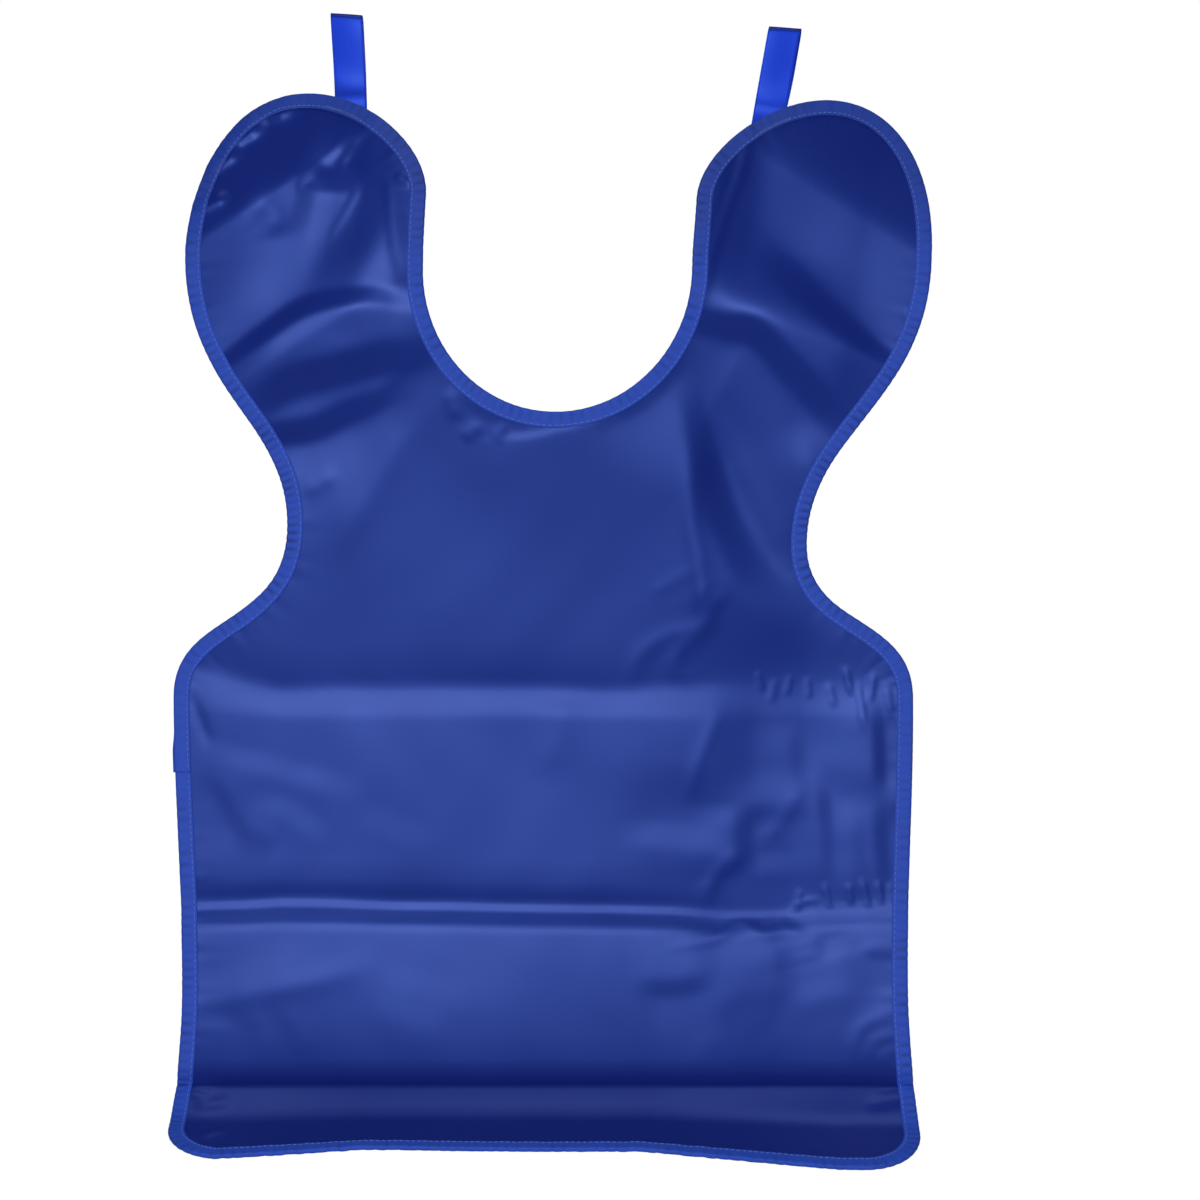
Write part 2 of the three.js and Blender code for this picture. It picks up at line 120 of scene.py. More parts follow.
# Right half of the cut: distance from the centre line, drop, heading of the edge, and the pull of the
# curve before and after the node. It runs from the neckline over the wing and down to the hem. The last
# column is the height of the tape's puckers there, in millimetres.
ROUND = 0.5523
STRAIGHT = 1 / 3
HEADINGS = {"out": (1, 0), "in": (-1, 0), "up": (0, -1), "down": (0, 1)}
HALF_OUTLINE = table(
    "across drop heading before after pucker",
    (0, NECK_DROP, "out", 0, ROUND, 0.45),
    (84.5, 157, "up", ROUND, STRAIGHT, 0.5),
    (85, 112, "up", STRAIGHT, 0.47, 0.55),
    (165, WING_TOP_DROP, "out", 0.47, 0.6, 0.12),
    (WING_REACH, 146, "down", 0.6, 0.51, 0.4),
    (162.5, 322, "down", 0.39, 0.59, 0.95),
    (231.5, 424, "down", 0.52, STRAIGHT, 0.2),
    (226, 610, "down", STRAIGHT, STRAIGHT, 0.6),
    (HEM_REACH, HEM_DROP - HEM_RADIUS, "down", STRAIGHT, ROUND, 0.6),
    (HEM_REACH - HEM_RADIUS, HEM_DROP, "in", ROUND, STRAIGHT, 0.3),
    (0, HEM_DROP, "in", STRAIGHT, 0, 0.25),
)

# Tilt of the sheet, in degrees, at each section down the middle. Positive comes forward going down.
SECTIONS = table(
    "drop tilt",
    (0, -4.5), (290, -5.3), (330, -3.7), (365, -2.7), (388, -2.7), (400, -4),
    (CREASE_DROPS[0] - 2, -5), (CREASE_DROPS[0] + 3, -1), (419, 5), (426, 7), (432, 5), (438, 1.4),
    (500, 2), (526, 2.8), (538, 1), (547, -4), (CREASE_DROPS[1] + 1, 1), (553, 9.7), (556, 9.7),
    (558, 18.5), (565, 18.5), (568, 11), (572, 6.2), (603, 5.6), (635, 3.6), (FLAP_DROP - 15, 1.5),
    (FLAP_DROP - 10, -6), (FLAP_DROP - 6, -20), (FLAP_DROP, -26),
)
FORWARD_AT_WING_TOP = 31

# The first two creases wander and fade across the sheet: how far each lies below its mean drop, and how
# keen it is (1 keen, 0 rounded away).
CREASE_WAVES = table(
    "across first first_keen second second_keen",
    (-240, -6, 0.2, 1.5, 0.8),
    (-208, -8, 0.5, 0.5, 1),
    (-190, -2, 0.7, 0, 1),
    (-165, 4, 0.8, -1.5, 1),
    (-132, 3, 0.8, -1, 1),
    (-95, 3, 0.8, 0.5, 1),
    (-60, 2.5, 0.9, 1, 1),
    (0, 3, 1, 2.5, 1),
    (40, 5, 0.8, 3, 1),
    (80, 2.5, 0.6, 4, 0.8),
    (110, 0, 0.4, 7, 0.4),
    (145, 0, 0.3, 7, 0.3),
    (170, -1, 0.3, 1, 0.3),
    (230, -2, 0.3, -2, 0.4),
)

# How far up and down a crease is felt where it wanders, and how broadly it is rounded away.
CREASE_REACH = 26
CREASE_ROUNDING = 15

# Tilt of the curled flap, in degrees, across its width.
FLAP_TILTS = table(
    "across tilt",
    (-200, 62), (-110, 67), (60, 66), (180, 55.5),
)

# Bend of the flap away from that tilt, in degrees, along its flat length from the last crease.
FLAP_BENDS = table(
    "along bend",
    (0, -15), (18, -17), (26, -10), (34, 7), (FLAP_LENGTH, 10),
)

# Sideways place of the sheet's centre line: the upper half leans to the right.
CENTRE_LINE = table(
    "drop shift",
    (50, 2), (145, -4), (255, -6.5), (365, -14), (620, -12.3),
)

# The right side of the upper half hangs lower than the left, by a share of the distance across.
SINK = dict(share=0.015, start=50, end=380)

# Each wing folds backward beyond two slanting lines across it, and the right tip turns forward again beyond a
# third: the ends of the line as distance across and drop, the steepest tilt in degrees, and the distance over
# which the sheet turns.
WING_ROLLS = table(
    "side start end tilt turn",
    (-1, (-97, 164), (-206, 237), 9, 7),
    (-1, (-130, 77), (-229, 144), 21, 7),
    (1, (85, 169), (203, 218), 9, 8),
    (1, (128, 87), (219, 142), 12, 14),
    (1, (190, 130), (182, 215), -4, 12),
)

# Folds of the sheet: half-width (or that at each end) and height, then the line that each follows in the
# photograph's pixels. A ridge (or hollow, if negative) rises along the line. A step
# lifts the sheet on the right-hand side of the line's run above the sheet on its left.
RIDGES = [
    # Left wing: keen folds under the loop, drawn tight by the weight.
    fold(2.2, 0.24, (366, 120), (352, 146), (341, 166), (349, 179), (355, 191), (350, 204), (334, 232)),
    fold(2.8, 0.26, (362, 124), (337, 146), (314, 168), (301, 184), (313, 192), (352, 194)),
    fold(2, 0.3, (343, 168), (366, 169), (386, 177)),
    fold(2.4, 0.2, (388, 176), (391, 225), (398, 272)),
    fold(2, 0.4, (396, 177), (412, 185)),
    fold(9, -0.9, (347, 142), (322, 174)),
    fold(9, -0.9, (254, 198), (274, 214), (276, 232)),
    # Left wing: puckers inside the tape.
    fold(5.4, 3.4, (236, 132), (258, 118), (284, 111), (290, 100)),
    fold(4.6, 2.8, (222, 152), (244, 137), (262, 128)),
    fold(4.4, 2.6, (208, 172), (238, 152)),
    fold(4, 2.2, (196, 210), (226, 196)),
    # Left chest and neck.
    fold(13, 0.8, (425, 405), (390, 455), (365, 500), (338, 548)),
    fold(6, 0.3, (420, 345), (386, 385), (360, 420)),
    fold(5, 0.35, (305, 492), (335, 474)),
    fold(4, 0.4, (449, 392), (457, 418)),
    fold(3.5, 0.35, (464, 438), (480, 424)),
    fold(3.5, 0.35, (494, 438), (506, 425)),
    # Right wing: the line drawn tight from the loop.
    fold(2.6, 0.6, (750, 131), (740, 172), (722, 221), (709, 265), (702, 298)),
    # Right chest: the crests on both sides of the long fold, and the fan below it.
    fold(36, 0.2, (750, 590), (840, 616)),
    fold(6, 0.3, (700, 401), (724, 432), (744, 469), (771, 525), (799, 588)),
    fold(11, 0.8, (806, 440), (810, 490), (808, 540)),
    fold(6, 0.8, (688, 463), (691, 520), (699, 566), (704, 616)),
    fold(4, 0.14, (693, 568), (672, 582), (650, 594)),
    fold(8, 0.3, (696, 588), (722, 606)),
    fold(6, 0.36, (706, 624), (665, 637), (641, 655), (630, 682)),
    fold(5.5, 0.42, (712, 604), (703, 627), (681, 649), (674, 666), (684, 682)),
    # Belly.
    fold(4.4, 0.3, (717, 716), (699, 762), (687, 798)),
    fold(5, 0.42, (742, 854), (718, 872), (704, 900)),
    fold(5.6, 0.3, (804, 786), (785, 815), (763, 844)),
    fold(10, 0.24, (545, 770), (560, 735), (566, 700)),
    fold(3.4, -0.4, (190, 696), (199, 718), (208, 742)),
    fold(10, 0.3, (243, 826), (275, 838)),
    # Lap.
    fold(8.8, 0.48, (198, 1005), (240, 997), (300, 985), (360, 970)),
    fold(2.8, 0.3, (680, 946), (716, 938), (741, 924), (764, 934), (786, 930), (806, 938)),
    fold(4.4, 0.3, (853, 1064), (856, 1040), (868, 1024), (902, 1010)),
    fold(4.4, 0.3, (866, 1064), (872, 1046), (884, 1036), (904, 1030)),
    fold(3.8, 0.27, (880, 1064), (888, 1052), (904, 1048)),
    fold(7.5, 0.21, (252, 1008), (262, 1035), (268, 1058)),
    fold(7.5, 0.21, (285, 1006), (300, 1035), (308, 1058)),
    fold(5, 0.36, (862, 949), (902, 946)),
    # Short upright pleats that gather the right ends of the first two creases.
    fold(1.6, 0.24, (757, 672), (762, 690)),
    fold(2, 0.2, (775, 680), (771, 702)),
    fold(1.6, 0.2, (790, 676), (787, 694)),
    fold(1.6, 0.22, (807, 678), (809, 698)),
    fold(2, 0.26, (828, 684), (834, 706)),
    fold(1.9, 0.4, (845, 668), (851, 694)),
    fold(2.2, 0.36, (858, 684), (864, 728)),
    fold(1.9, 0.34, (874, 674), (869, 702)),
    fold(2, 0.3, (886, 686), (891, 716)),
    fold(1.6, 0.24, (800, 890), (796, 908)),
    fold(2, 0.26, (792, 912), (804, 902), (820, 900)),
    fold(1.8, 0.3, (824, 884), (829, 908)),
    fold(1.7, 0.3, (848, 884), (851, 904)),
    fold(1.9, 0.36, (862, 880), (868, 908)),
    fold(1.7, 0.3, (878, 882), (881, 904)),
    fold(1.7, 0.24, (890, 884), (893, 902)),
    # Flap: puckers at the rounded corners.
    fold(2.6, 0.9, (190, 1085), (214, 1087)),
    fold(2.4, 0.8, (188, 1095), (208, 1098)),
    fold(4, 0.9, (196, 1108), (230, 1104)),
    fold(3, 1.1, (202, 1138), (222, 1131)),
    fold(3, 0.9, (878, 1092), (906, 1088)),
    fold(3.5, 0.9, (868, 1106), (904, 1100)),
]
STEPS = [
    # Left wing, from the top down.
    fold((4.5, 7), 3.6, (214, 370), (262, 335), (303, 308), (342, 298), (384, 296), (424, 304)),
    fold(11, -5.2, (240, 414), (280, 389), (300, 380), (340, 370), (380, 359), (430, 352), tail=50),
    fold(8, -3.6, (228, 446), (280, 434), (314, 428), (346, 413), (392, 393)),
    fold(16, -6.2, (384, 116), (368, 200), (352, 244), (326, 296)),
    fold(9, -2.4, (400, 180), (404, 250), (412, 340)),
    fold(8, 2.4, (308, 172), (332, 178), (358, 180)),
    # Right wing.
    fold(18, 6, (738, 125), (733, 200), (718, 300)),
    fold(3, 0.7, (738, 146), (714, 225), (698, 292)),
    fold((11, 5), 3.4, (760, 248), (800, 287), (842, 325), (890, 364)),
    fold((8, 12), -5.4, (690, 316), (722, 324), (756, 332), (790, 368), (822, 402), (850, 434)),
    # Neckline.
    fold(6, -0.9, (600, 424), (650, 394), (686, 352)),
    fold(5, -0.6, (455, 394), (490, 413), (522, 425)),
    fold(2.4, 0.5, (490, 438), (530, 435), (560, 428), (592, 421)),
    # Right chest.
    fold((9, 16), 5.2, (692, 406), (703, 446), (715, 490), (732, 535), (755, 574), (798, 614)),
    fold(24, -3, (722, 300), (748, 420), (780, 540)),
    # Belly: streaks that spread from the left edge, and upright folds on the right.
    fold(7.5, 0.6, (194, 748), (235, 757), (290, 772), (348, 787)),
    fold(5.6, -0.54, (212, 778), (228, 806), (241, 836)),
    fold(7.5, 0.54, (260, 799), (292, 812), (324, 835)),
    fold(8.8, 0.36, (360, 812), (395, 826), (430, 842)),
    fold(9, 1.3, (628, 832), (676, 837), (726, 842)),
    fold(14, 1.7, (738, 700), (736, 745), (732, 792)),
    fold(6.2, 0.54, (796, 732), (800, 770), (807, 802)),
    fold(5.6, 1.2, (822, 778), (826, 825), (829, 880)),
    fold(5, 1.5, (877, 706), (879, 750), (880, 792)),
    fold(7.5, 1.4, (743, 812), (744, 840), (747, 868)),
    fold(5, 0.6, (856, 812), (859, 855), (862, 898)),
    fold(5.6, 1.3, (879, 806), (882, 850), (886, 894)),
    # Lap.
    fold(8.8, 0.6, (194, 1001), (225, 984), (262, 966), (294, 945)),
    fold(5, 0.36, (196, 1020), (234, 1023)),
    fold(3, 0.3, (693, 930), (734, 935), (757, 920), (780, 917), (800, 928)),
    fold(6.2, -0.9, (640, 988), (676, 988), (710, 982)),
    fold(7.5, 0.6, (783, 943), (786, 970), (793, 998)),
    fold(5, 0.48, (817, 936), (822, 958)),
    fold(10, 0.72, (849, 944), (858, 975), (863, 1004)),
    fold(8.8, 0.48, (714, 1024), (735, 1044), (754, 1060)),
    fold(8.8, 0.3, (370, 1001), (405, 1014), (442, 1023)),
    fold(10, 0.3, (378, 970), (425, 985), (472, 1001)),
]

# How far a step is felt on each side of its line, in its half-widths and in millimetres more, how flat its
# slope is (a higher power has keener edges), and the multiple of that reach where it is cut off.
STEP_REACH = 3.2
STEP_TAIL = 10
FACET_POWER = 4
STEP_CUTOFF = 3

# How far a ridge is felt, in its half-widths, the power of its fall and the radius of its crest. Then shares
# of a fold's length: how far it runs past its line, and where it fades beyond and within each end.
RIDGE_REACH = 4
RIDGE_POWER = 1.6
CREST_RADIUS = 1
LINE_OVERRUN = 0.4
FADE_BEYOND = 0.2
FADE_WITHIN = 0.3

# Each loop: where it leaves the edge, the height of its bight, its sideways lean in degrees, the shear of its
# bight, its section's slope at the left, middle and right in degrees, the sideways offset of its rear run,
# and the ends of its bar tack in the photograph's pixels.
LOOPS = [
    dict(name="loop_left", across=-136.3, top=5.8, lean=-3, shear=-0.15, slopes=(17, 11, 0), rear=0.3,
         tack=((329, 107), (366, 123))),
    dict(name="loop_right", across=126.7, top=-3.4, lean=10, shear=0.12, slopes=(0, -10, -6), rear=1.3,
         tack=((751, 132), (787, 117))),
]

# Where the ends of the tape lap, in the photograph's pixels.
TAPE_JOIN = (176, 772)


def column(rows, name):
    return np.array([row[name] for row in rows], float)


def look_up(rows, key, name, place):
    return np.interp(place, column(rows, key), column(rows, name))


def smooth_step(value, low, high):
    share = np.clip((value - low) / (high - low), 0, 1)
    return share * share * (3 - 2 * share)


def waves(rows, place, start=0):
    """Sine waves along a line, added to start."""
    return sum((row["share"] * np.sin(place / row["length"] + row["start"]) for row in rows), start)


def summed(steps):
    return np.concatenate([[0], np.cumsum(steps)])


def lengths_along(points):
    return summed(np.linalg.norm(np.diff(points, axis=0), axis=1))


def flat_grid(along, across):
    return np.stack(np.broadcast_arrays(along[:, None], across[None, :]), -1).reshape(-1, 2)


def swell(place, mean, swing, length, start=0):
    return mean + swing * np.sin(place / length + start)


# How far forward the middle of the sheet stands at each sample of its drop, summed from its tilts.
SAMPLE_STEP = 0.5
PROFILE_DROPS = np.arange(0, FLAP_DROP + SAMPLE_STEP, SAMPLE_STEP)
SLOPES = np.tan(np.radians(look_up(SECTIONS, "drop", "tilt", PROFILE_DROPS[:-1] + SAMPLE_STEP / 2)))
PROFILE = summed(SLOPES * SAMPLE_STEP)
PROFILE += FORWARD_AT_WING_TOP - np.interp(WING_TOP_DROP, PROFILE_DROPS, PROFILE)

# The same with its creases rounded away.
BLUR_REACH = 3 * CREASE_ROUNDING
BLUR = np.exp(-((np.arange(-BLUR_REACH, BLUR_REACH, SAMPLE_STEP) / CREASE_ROUNDING) ** 2) / 2)
PADDED = np.pad(PROFILE, len(BLUR) // 2, "reflect", reflect_type="odd")
ROUNDED = np.convolve(PADDED, BLUR / BLUR.sum(), "same")[len(BLUR) // 2:][:len(PROFILE)]

# Where the bent flap runs, along and square to its mean tilt, to a little beyond its length.
FLAP_SPARE = 3
FLAP_STEPS = np.arange(0, FLAP_LENGTH + FLAP_SPARE, SAMPLE_STEP)
BENDS = np.radians(look_up(FLAP_BENDS, "along", "bend", FLAP_STEPS[:-1] + SAMPLE_STEP / 2))
FLAP_ALONG = summed(np.cos(BENDS) * SAMPLE_STEP)
FLAP_SQUARE = summed(np.sin(BENDS) * SAMPLE_STEP)


def roll_back(across, drop):
    back = 0
    for roll in WING_ROLLS:
        start, end = np.array(roll["start"], float), np.array(roll["end"], float)
        run, fall = end - start
        aside = roll["side"] * ((across - start[0]) * fall - (drop - start[1]) * run)
        beyond = np.maximum(0, aside / math.hypot(run, fall))
        turned = beyond - roll["turn"] * (1 - np.exp(-beyond / roll["turn"]))
        back = back + math.tan(math.radians(roll["tilt"])) * turned * (across * roll["side"] > 0)
    return back


def creased_profile(across, drop):
    """How far forward the sheet stands, with each crease where it wanders and as keen as it is there."""
    shift, rounded = 0, 0
    for crease, name in zip(CREASE_DROPS, ("first", "second")):
        near = np.exp(-(((drop - crease) / CREASE_REACH) ** 2))
        shift = shift + near * look_up(CREASE_WAVES, "across", name, across)
        rounded = rounded + near * (1 - look_up(CREASE_WAVES, "across", name + "_keen", across))
    keen, soft = (np.interp(drop - shift, PROFILE_DROPS, forward) for forward in (PROFILE, ROUNDED))
    return keen + rounded * (soft - keen)


def hang(across, drop, lift=0):
    """Where points of the cut sheet hang: the middle of its thickness, moved forward by lift."""
    across, drop = np.asarray(across, float), np.asarray(drop, float)
    upright = np.minimum(drop, FLAP_DROP)
    flap = drop - upright
    tilt = np.radians(look_up(FLAP_TILTS, "across", "tilt", across)) * (flap > 0)
    slant = SINK["share"] * (1 - np.clip((drop - SINK["start"]) / (SINK["end"] - SINK["start"]), 0, 1))
    forward = creased_profile(across, upright) - roll_back(across, drop)
    run, rise = np.interp(flap, FLAP_STEPS, FLAP_ALONG), np.interp(flap, FLAP_STEPS, FLAP_SQUARE)
    x = across + look_up(CENTRE_LINE, "drop", "shift", drop)
    y = -(forward + run * np.sin(tilt) + (rise + lift) * np.cos(tilt))
    z = -upright - run * np.cos(tilt) - slant * across + (rise + lift) * np.sin(tilt)
    return np.stack([x, y, z], -1)


def to_pixels(points):
    depth = 1 + (points[..., 1] - PHOTO_PLANE) / CAMERA_DISTANCE
    px = PHOTO_SIZE / 2 + (points[..., 0] - CAMERA_X) / MM_PER_PIXEL / depth
    py = PHOTO_SIZE / 2 - (points[..., 2] - CAMERA_Z) / MM_PER_PIXEL / depth
    return np.stack([px, py], -1)


# Rounds that trace a place of the photograph to the sheet, and the share of the miss that each makes good.
TRACE_ROUNDS = 24
FLAP_GAIN = 1.5
SHEET_GAIN = 0.8


def on_sheet(pixels):
    """The points of the cut that show at these places of the photograph."""
    pixels = np.asarray(pixels, float)
    across = (pixels[:, 0] - ORIGIN_PIXEL[0]) * MM_PER_PIXEL
    drop = (pixels[:, 1] - ORIGIN_PIXEL[1]) * MM_PER_PIXEL
    for _ in range(TRACE_ROUNDS):
        miss = (pixels - to_pixels(hang(across, drop))) * MM_PER_PIXEL
        across = across + miss[:, 0]
        drop = drop + miss[:, 1] * np.where(drop > FLAP_DROP, FLAP_GAIN, SHEET_GAIN)
    return np.stack([across, drop], -1)


def distance_to_line(points, line):
    """Distance of each point from a line of straight runs, its side (1 right, -1 left) and share along.

    The two end runs carry on past the line's ends.
    """
    runs = np.linalg.norm(np.diff(line, axis=0), axis=1)
    starts = summed(runs)
    beyond = LINE_OVERRUN * starts[-1]
    nearest = np.full(len(points), np.inf)
    along = np.zeros(len(points))
    side = np.ones(len(points))
    for i, run in enumerate(runs):
        direction = (line[i + 1] - line[i]) / run
        reach = points - line[i]
        low, high = -beyond if i == 0 else 0, run + (beyond if i == len(runs) - 1 else 0)
        step = np.clip(reach @ direction, low, high)
        away = np.linalg.norm(reach - step[:, None] * direction, axis=1)
        closer = away < nearest
        nearest[closer] = away[closer]
        along[closer] = ((starts[i] + step) / starts[-1])[closer]
        side[closer] = np.sign(direction[0] * reach[:, 1] - direction[1] * reach[:, 0])[closer]
    return nearest, side, along


def smooth_line(pixels):
    """A rounded line on the sheet through places of the photograph."""
    knots = on_sheet(pixels)
    if len(knots) == 2:
        return knots
    padded = np.concatenate([[2 * knots[0] - knots[1]], knots, [2 * knots[-1] - knots[-2]]])
    share = np.linspace(0, 1, LINE_POINTS, endpoint=False)[:, None]
    pieces = []
    for a, b, c, d in zip(padded, padded[1:], padded[2:], padded[3:]):
        turn = 2 * a - 5 * b + 4 * c - d + share * (3 * (b - c) + d - a)
        pieces.append(b + 0.5 * share * (c - a + share * turn))
    return np.concatenate([*pieces, knots[-1:]])


def near_line(points, line, reach):
    low, high = line.min(0) - reach, line.max(0) + reach
    return np.flatnonzero(np.all((points > low) & (points < high), axis=1))


def end_fade(along):
    return smooth_step(0.5 - np.abs(along - 0.5), -FADE_BEYOND, FADE_WITHIN)


def width_along(width, along):
    return np.interp(along, (0, 1), np.broadcast_to(width, 2))


def ridge_lift(points, line, width, height):
    lift = np.zeros(len(points))
    near = near_line(points, line, RIDGE_REACH * width)
    away, _, along = distance_to_line(points[near], line)
    rounded = np.sqrt(away**2 + CREST_RADIUS**2) - CREST_RADIUS
    lift[near] = height * end_fade(along) * np.exp(-((rounded / width) ** RIDGE_POWER))
    return lift


def step_lift(points, line, width, height, tail=STEP_TAIL):
    lift = np.zeros(len(points))
    near = near_line(points, line, STEP_CUTOFF * (STEP_REACH * np.max(width) + tail))
    away, side, _ = distance_to_line(points[near], line)
    chord = line[-1] - line[0]
    along = (points[near] - line[0]) @ chord / (chord @ chord)
    wide = width_along(width, along)
    fade = end_fade(along) * np.exp(-((away / (wide * STEP_REACH + tail)) ** 2))
    spread_out = away / wide
    slope = spread_out / (1 + spread_out**FACET_POWER) ** (1 / FACET_POWER)
    lift[near] = height / 2 * side * slope * fade
    return lift


def fold_relief(points):
    lift = np.zeros(len(points))
    for lift_of, rows in ((ridge_lift, RIDGES), (step_lift, STEPS)):
        for row in rows:
            lift += lift_of(points, **dict(row, line=smooth_line(row["line"])))
    return lift


def edge_points(spacing):
    """Evenly spaced points of the cut's whole edge: down the right half from the neck, and back up the left.

    The height of the tape's puckers at each point comes with them.
    """
    fine = []
    share = np.linspace(0, 1, CURVE_POINTS, endpoint=False)[:, None]
    for a, b in zip(HALF_OUTLINE, HALF_OUTLINE[1:]):
        start, end = (np.array([node["across"], node["drop"]], float) for node in (a, b))
        leave, arrive = (np.array(HEADINGS[node["heading"]], float) for node in (a, b))
        first = start + leave * a["after"] * abs((end - start) @ leave)
        second = end - arrive * b["before"] * abs((end - start) @ arrive)
        rest = 1 - share
        leaving = rest**3 * start + 3 * rest**2 * share * first
        fine.append(leaving + 3 * rest * share**2 * second + share**3 * end)
    fine = np.concatenate([*fine, [[0, HEM_DROP]]])
    lengths = lengths_along(fine)
    stops = np.linspace(0, lengths[-1], round(lengths[-1] / spacing) + 1)
    right = np.stack([np.interp(stops, lengths, fine[:, k]) for k in (0, 1)], -1)
    left = right[1:-1][::-1] * (-1, 1)
    pucker = np.interp(stops, lengths[::len(share)], column(HALF_OUTLINE, "pucker"))
    return np.concatenate([right, left]), np.concatenate([pucker, pucker[1:-1][::-1]])


def ring_inward(ring):
    along = np.roll(ring, -1, axis=0) - np.roll(ring, 1, axis=0)
    along /= np.linalg.norm(along, axis=1)[:, None]
    return np.stack([-along[:, 1], along[:, 0]], -1)


def inside_ring(points, ring):
    inside = np.zeros(len(points), bool)
    ends = np.roll(ring, -1, axis=0)
    for (ax, ay), (bx, by) in zip(ring, ends):
        if ay == by:
            continue
        spans = (ay > points[:, 1]) != (by > points[:, 1])
        inside ^= spans & (points[:, 0] < ax + (points[:, 1] - ay) * (bx - ax) / (by - ay))
    return inside


def nearest_on_ring(points, ring):
    """Distance of each point from the ring's points, and the index of the nearest."""
    distance = np.empty(len(points))
    index = np.empty(len(points), int)
    for start in range(0, len(points), BLOCK_SIZE):
        block = slice(start, start + BLOCK_SIZE)
        square = ((points[block][:, None, :] - ring[None, :, :]) ** 2).sum(-1)
        index[block] = square.argmin(1)
        distance[block] = np.sqrt(square.min(1))
    return distance, index


def new_object(name, points, faces, material, flat=None):
    """A smooth mesh on the one body, with the flat place of each point, in millimetres, as its UV map."""
    mesh = bpy.data.meshes.new(name)
    mesh.from_pydata((np.asarray(points) * MM).tolist(), [], faces)
    mesh.polygons.foreach_set("use_smooth", [True] * len(mesh.polygons))
    mesh.materials.append(material)
    if flat is not None:
        corners = np.empty(len(mesh.loops), int)
        mesh.loops.foreach_get("vertex_index", corners)
        mesh.uv_layers.new(name="flat").data.foreach_set("uv", np.asarray(flat)[corners].ravel())
    obj = bpy.data.objects.new(name, mesh)
    bpy.context.scene.collection.objects.link(obj)
    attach(obj, "root")
    return obj


def unit(vectors):
    return vectors / np.linalg.norm(vectors, axis=-1)[..., None]


EDGE, _ = edge_points(EDGE_STEP)
EDGE_PLACES = lengths_along(EDGE)

# Ripples of the sheet inside the tape, along its edge.
RIPPLES = table(
    "length start share",
    (2.1, 1.7, 1),
    (3.3, 0.4, 0.7),
    (1.37, 2.9, 0.6),
)
RIPPLE_SWELL = dict(mean=0.55, swing=0.45, length=37, start=0.8)
RIPPLE_HEIGHT = 0.16
RIPPLE_REACH = 8

# Broad unevenness of the sheet: two slanting waves, and a patchwork of shorter ones with wandering rows.
SLANTING = table(
    "across drop start share",
    (24, 41, 0, 1),
    (37, -22, 1, 0.8),
)
PATCHWORK = dict(across=11, drop=17, wander=1.3, wander_drop=29, wander_across=31)
SLANTING_HEIGHT = 0.18
PATCHWORK_HEIGHT = 0.08


def pucker_relief(points):
    """Small ripples where the tape draws in the edge of the sheet."""
    away, index = nearest_on_ring(points, EDGE)
    place = EDGE_PLACES[index]
    strength = swell(place, **RIPPLE_SWELL)
    return RIPPLE_HEIGHT * strength * waves(RIPPLES, place) * np.exp(-away / RIPPLE_REACH)


def sway_relief(points):
    """Broad, shallow unevenness of the hanging sheet."""
    across, drop = points.T
    long = sum(wave["share"] * np.sin(across / wave["across"] + drop / wave["drop"] + wave["start"])
               for wave in SLANTING)
    columns = across / PATCHWORK["across"] + PATCHWORK["wander"] * np.sin(drop / PATCHWORK["wander_drop"])
    rows = drop / PATCHWORK["drop"] + np.sin(across / PATCHWORK["wander_across"])
    return SLANTING_HEIGHT * long + PATCHWORK_HEIGHT * (np.sin(columns) * np.sin(rows))


def relief(points):
    return fold_relief(points) + pucker_relief(points) + sway_relief(points)


def on_body(points):
    """Where points of the cut hang, folds and puckers included."""
    return hang(points[:, 0], points[:, 1], relief(points))


def facing(points):
    """Direction that the front of the sheet faces at points of the cut."""
    offsets = ((FACING_STEP, 0), (-FACING_STEP, 0), (0, FACING_STEP), (0, -FACING_STEP))
    right, left, low, high = (on_body(points + offset) for offset in offsets)
    return unit(np.cross(low - high, right - left))


def staggered_points(spacing, low, high):
    rows = []
    for i, drop in enumerate(np.arange(low[1], high[1], spacing * math.sqrt(3) / 2)):
        across = np.arange(low[0], high[0], spacing) + (i % 2) * spacing / 2
        rows.append(np.stack([across, np.full(len(across), drop)], -1))
    return np.concatenate(rows)


